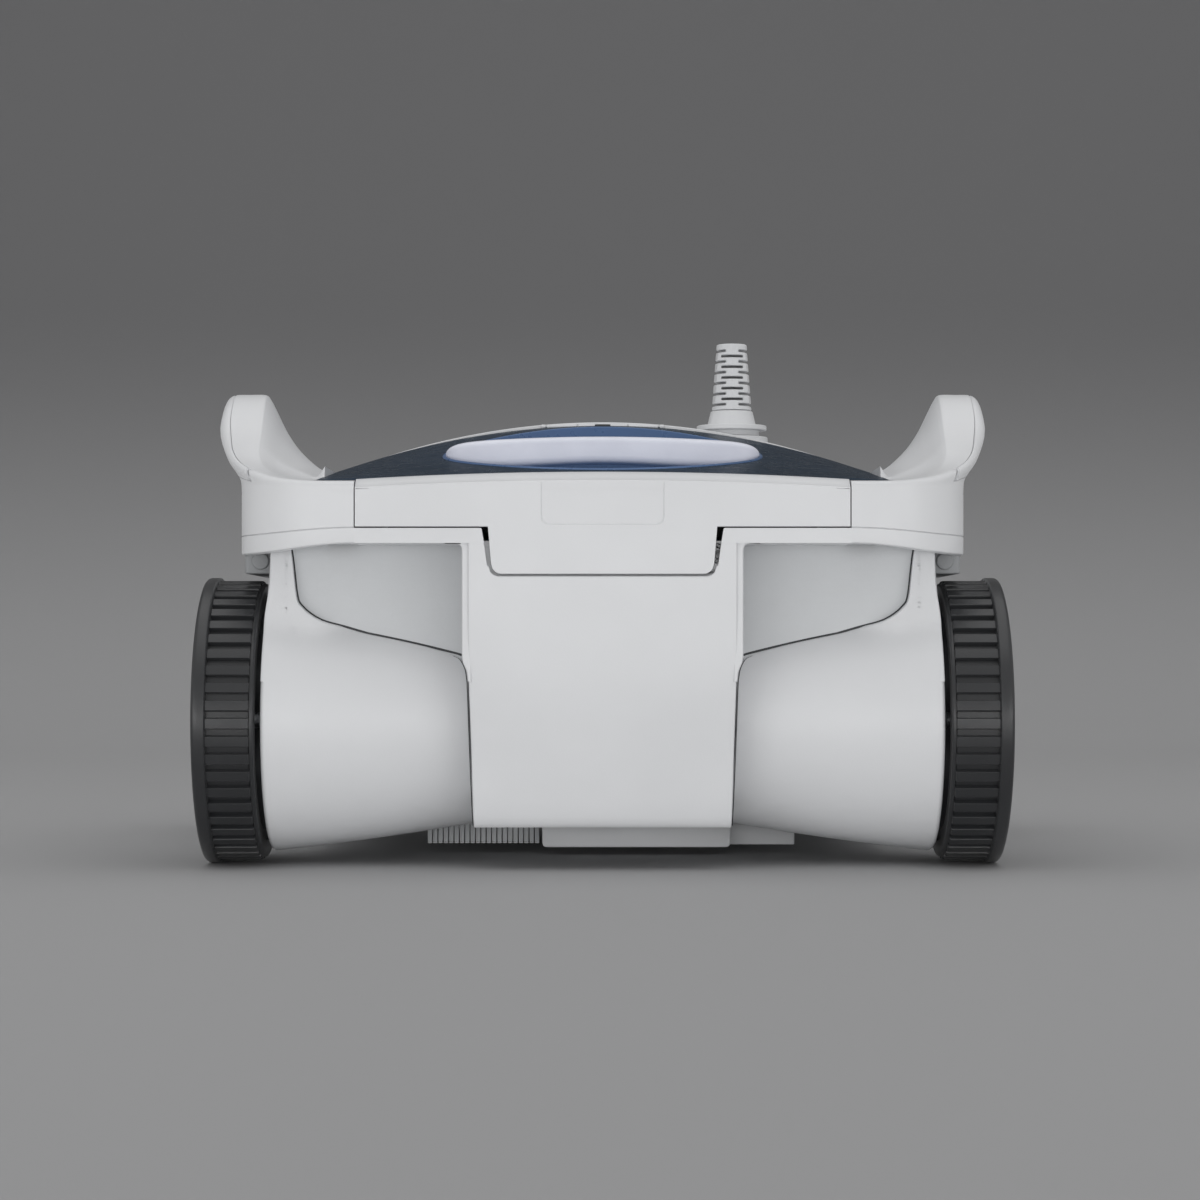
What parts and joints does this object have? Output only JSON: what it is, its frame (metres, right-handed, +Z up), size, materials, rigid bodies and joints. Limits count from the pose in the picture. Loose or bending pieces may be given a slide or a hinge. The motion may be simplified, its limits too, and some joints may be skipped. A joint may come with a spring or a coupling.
{
  "type": "robotic pool cleaner",
  "caption": "Four-wheeled corded robot that scrubs and vacuums a swimming pool: white shell, tinted lid window with carry bar, side fins and cable swivel.",
  "frame": {"origin": "on the floor, midway between the four wheels", "axes": "+X to the right side seen from the front, +Y to the back, +Z up"},
  "size_m": [0.399, 0.41, 0.275],
  "materials": {
    "white_shell": "satin moulded, fine grain",
    "handle": "satin moulded",
    "window": "polished, see-through",
    "tyre": "satin moulded ribs",
    "wheel_grey": "fine grain",
    "dark_plastic": "fine grain",
    "nylon": "as moulded",
    "steel": "turned",
    "motor_can": "drawn can",
    "seal": "dull",
    "board": "solder mask",
    "filter_mesh": "woven mesh"
  },
  "bodies": {
    "chassis": {"fender_front_left": "white_shell", "fender_rear_left": "white_shell", "side_cover_left": "white_shell", "fin_skin_left": "white_shell", "drive_motor_left": "motor_can", "fender_front_right": "white_shell", "fender_rear_right": "white_shell", "side_cover_right": "white_shell", "fin_skin_right": "white_shell", "drive_motor_right": "motor_can", "chassis_tub": "white_shell", "front_panel": "white_shell", "rear_panel": "white_shell", "upper_frame": "white_shell", "rear_deck": "white_shell", "inlet_comb": "white_shell", "outlet_duct": "white_shell", "swivel_base": "white_shell", "lid_hinge_pin": "steel", "suction_skirt": "white_shell", "flap_pin": "steel", "motor_box": "dark_plastic", "motor_box_seal": "seal", "motor_box_cover": "dark_plastic", "pump_motor": "motor_can", "control_board": "board", "outlet_grille": "wheel_grey"},
    "wheel_front_left": {"tyre_front_left": "tyre", "wheel_hub_front_left": "wheel_grey", "wheel_axle_front_left": "steel", "wheel_gear_front_left": "nylon"},
    "wheel_rear_left": {"tyre_rear_left": "tyre", "wheel_hub_rear_left": "wheel_grey", "wheel_axle_rear_left": "steel", "wheel_gear_rear_left": "nylon"},
    "idler_front_left": {"idler_gear_front_left": "nylon"},
    "idler_rear_left": {"idler_gear_rear_left": "nylon"},
    "pinion_left": {"drive_pinion_left": "nylon"},
    "wheel_front_right": {"tyre_front_right": "tyre", "wheel_hub_front_right": "wheel_grey", "wheel_axle_front_right": "steel", "wheel_gear_front_right": "nylon"},
    "wheel_rear_right": {"tyre_rear_right": "tyre", "wheel_hub_rear_right": "wheel_grey", "wheel_axle_rear_right": "steel", "wheel_gear_rear_right": "nylon"},
    "idler_front_right": {"idler_gear_front_right": "nylon"},
    "idler_rear_right": {"idler_gear_rear_right": "nylon"},
    "pinion_right": {"drive_pinion_right": "nylon"},
    "impeller_rotor": {"impeller": "dark_plastic"},
    "lid": {"lid_frame": "white_shell", "lid_window": "window", "lid_handle": "handle"},
    "basket": {"filter_basket": "dark_plastic", "filter_mesh_front": "filter_mesh", "filter_mesh_rear": "filter_mesh"},
    "flap": {"inlet_flap": "dark_plastic"},
    "cable_swivel": {"swivel_collar": "white_shell", "strain_relief": "white_shell"}
  },
  "joints": [
    {"name": "wheel_front_left_spin", "type": "hinge", "parent": "chassis", "child": "wheel_front_left", "pos_m": [0, -0.13, 0.071], "axis": [1, 0, 0], "continuous": true},
    {"name": "wheel_rear_left_spin", "type": "hinge", "parent": "chassis", "child": "wheel_rear_left", "pos_m": [0, 0.13, 0.071], "axis": [1, 0, 0], "continuous": true},
    {"name": "idler_front_left_spin", "type": "hinge", "parent": "chassis", "child": "idler_front_left", "pos_m": [0, -0.06, 0.071], "axis": [1, 0, 0], "continuous": true},
    {"name": "idler_rear_left_spin", "type": "hinge", "parent": "chassis", "child": "idler_rear_left", "pos_m": [0, 0.06, 0.071], "axis": [1, 0, 0], "continuous": true},
    {"name": "pinion_left_spin", "type": "hinge", "parent": "chassis", "child": "pinion_left", "pos_m": [0, 0, 0.071], "axis": [1, 0, 0], "continuous": true},
    {"name": "wheel_front_right_spin", "type": "hinge", "parent": "chassis", "child": "wheel_front_right", "pos_m": [0, -0.13, 0.071], "axis": [1, 0, 0], "continuous": true},
    {"name": "wheel_rear_right_spin", "type": "hinge", "parent": "chassis", "child": "wheel_rear_right", "pos_m": [0, 0.13, 0.071], "axis": [1, 0, 0], "continuous": true},
    {"name": "idler_front_right_spin", "type": "hinge", "parent": "chassis", "child": "idler_front_right", "pos_m": [0, -0.06, 0.071], "axis": [1, 0, 0], "continuous": true},
    {"name": "idler_rear_right_spin", "type": "hinge", "parent": "chassis", "child": "idler_rear_right", "pos_m": [0, 0.06, 0.071], "axis": [1, 0, 0], "continuous": true},
    {"name": "pinion_right_spin", "type": "hinge", "parent": "chassis", "child": "pinion_right", "pos_m": [0, 0, 0.071], "axis": [1, 0, 0], "continuous": true},
    {"name": "impeller_spin", "type": "hinge", "parent": "chassis", "child": "impeller_rotor", "pos_m": [0, 0.075, 0.115], "axis": [0, 0, 1], "continuous": true},
    {"name": "lid_hinge", "type": "hinge", "parent": "chassis", "child": "lid", "pos_m": [0, -0.01165, 0.2262], "axis": [-1, 0, 0], "range_deg": [0, 80]},
    {"name": "basket_lift", "type": "slide", "parent": "chassis", "child": "basket", "axis": [0, 0, 1], "range_m": [0, 0.05]},
    {"name": "inlet_flap_hinge", "type": "hinge", "parent": "chassis", "child": "flap", "pos_m": [0, -0.0468, 0.0257], "axis": [-1, 0, 0], "range_deg": [0, 30]},
    {"name": "cable_swivel_spin", "type": "hinge", "parent": "chassis", "child": "cable_swivel", "pos_m": [0.0716, 0.035, 0.24], "axis": [0, 0, 1], "continuous": true}
  ],
  "couplings": [
    {"joint": "wheel_rear_left_spin", "follows": "wheel_front_left_spin", "ratio": 1},
    {"joint": "idler_front_left_spin", "follows": "wheel_front_left_spin", "ratio": -0.64706},
    {"joint": "idler_rear_left_spin", "follows": "wheel_front_left_spin", "ratio": -0.64706},
    {"joint": "pinion_left_spin", "follows": "wheel_front_left_spin", "ratio": 1.5714},
    {"joint": "wheel_rear_right_spin", "follows": "wheel_front_right_spin", "ratio": 1},
    {"joint": "idler_front_right_spin", "follows": "wheel_front_right_spin", "ratio": -0.64706},
    {"joint": "idler_rear_right_spin", "follows": "wheel_front_right_spin", "ratio": -0.64706},
    {"joint": "pinion_right_spin", "follows": "wheel_front_right_spin", "ratio": 1.5714},
    {"joint": "basket_lift", "follows": "lid_hinge", "m_per_rad": 0.0358}
  ]
}
